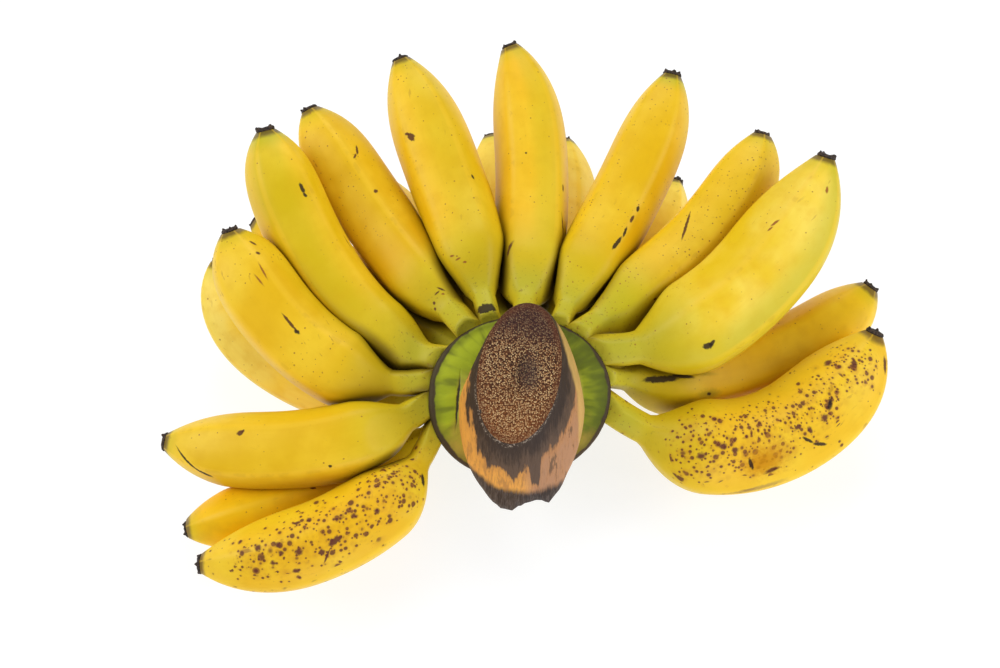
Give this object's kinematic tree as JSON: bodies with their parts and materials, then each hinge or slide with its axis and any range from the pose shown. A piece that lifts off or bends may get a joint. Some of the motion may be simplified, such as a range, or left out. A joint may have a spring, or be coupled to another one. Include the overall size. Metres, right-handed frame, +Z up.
{
  "type": "hand of small bananas",
  "caption": "Hand of small ripe bananas fanned out round a cut crown, with yellow peel, green necks, brown freckles and dark dried blossom ends, lying on its lower fingers.",
  "frame": {"origin": "on the table, under the middle of the hand's bounding box", "axes": "+X to the right across the fan of fingers, its longest way; +Y away from the viewer, the way the middle fingers point; +Z up from the table"},
  "size_m": [0.3204, 0.2476, 0.0987],
  "materials": {
    "peel": "satin waxy skin, yellow with green at the neck and fine brown flecks",
    "spotted_peel": "satin waxy skin, ripe yellow covered in brown freckles",
    "dry_tip": "matt, withered and ragged",
    "crown": "satin green cushion with a dark rim, and a matt brown fibrous cut face"
  },
  "bodies": {
    "root": {"crown": "crown", "finger_front_01": "spotted_peel", "finger_front_02": "peel", "finger_front_03": "peel", "finger_front_04": "peel", "finger_front_05": "peel", "finger_front_06": "peel", "finger_front_07": "peel", "finger_front_08": "peel", "finger_front_09": "peel", "finger_front_10": "peel", "finger_front_11": "peel", "finger_front_12": "spotted_peel", "finger_back_01": "peel", "finger_back_02": "peel", "finger_back_03": "peel", "finger_back_04": "peel", "finger_back_05": "peel", "finger_back_06": "peel", "finger_back_07": "peel", "finger_back_08": "peel", "tip_front_01": "dry_tip", "tip_front_02": "dry_tip", "tip_front_03": "dry_tip", "tip_front_04": "dry_tip", "tip_front_05": "dry_tip", "tip_front_06": "dry_tip", "tip_front_07": "dry_tip", "tip_front_08": "dry_tip", "tip_front_09": "dry_tip", "tip_front_10": "dry_tip", "tip_front_11": "dry_tip", "tip_front_12": "dry_tip", "tip_back_01": "dry_tip", "tip_back_02": "dry_tip", "tip_back_03": "dry_tip", "tip_back_04": "dry_tip", "tip_back_05": "dry_tip", "tip_back_06": "dry_tip", "tip_back_07": "dry_tip", "tip_back_08": "dry_tip"}
  },
  "joints": []
}
